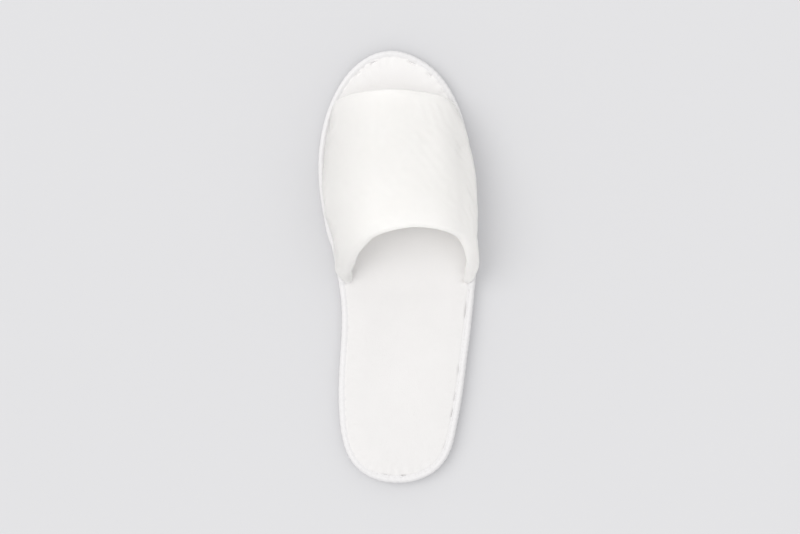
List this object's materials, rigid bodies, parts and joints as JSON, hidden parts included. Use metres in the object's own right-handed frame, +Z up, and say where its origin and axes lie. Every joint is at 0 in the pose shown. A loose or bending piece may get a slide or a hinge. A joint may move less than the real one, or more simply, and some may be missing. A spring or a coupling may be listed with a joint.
{
  "type": "hotel slipper",
  "caption": "Open-toe slip-on hotel slipper for the right foot: padded cloth vamp over a thin foam sole, wrapped round its edge with folded cloth tape.",
  "frame": {"origin": "on the floor, under the middle of the sole's bounding box", "axes": "+X to the outer side of the foot, +Y to the toe, +Z up"},
  "size_m": [0.1033, 0.28, 0.048],
  "materials": {
    "outsole_foam": "closed-cell foam sheet with a fine moulded tread, matte",
    "insole_cloth": "short napped cloth over soft foam, matte",
    "upper_cloth": "short napped cloth over thin foam, matte",
    "tape_cloth": "smooth woven tape, folded and stitched, slight sheen"
  },
  "bodies": {
    "root": {"outsole": "outsole_foam", "insole": "insole_cloth", "upper": "upper_cloth", "edge_tape": "tape_cloth"}
  },
  "joints": []
}
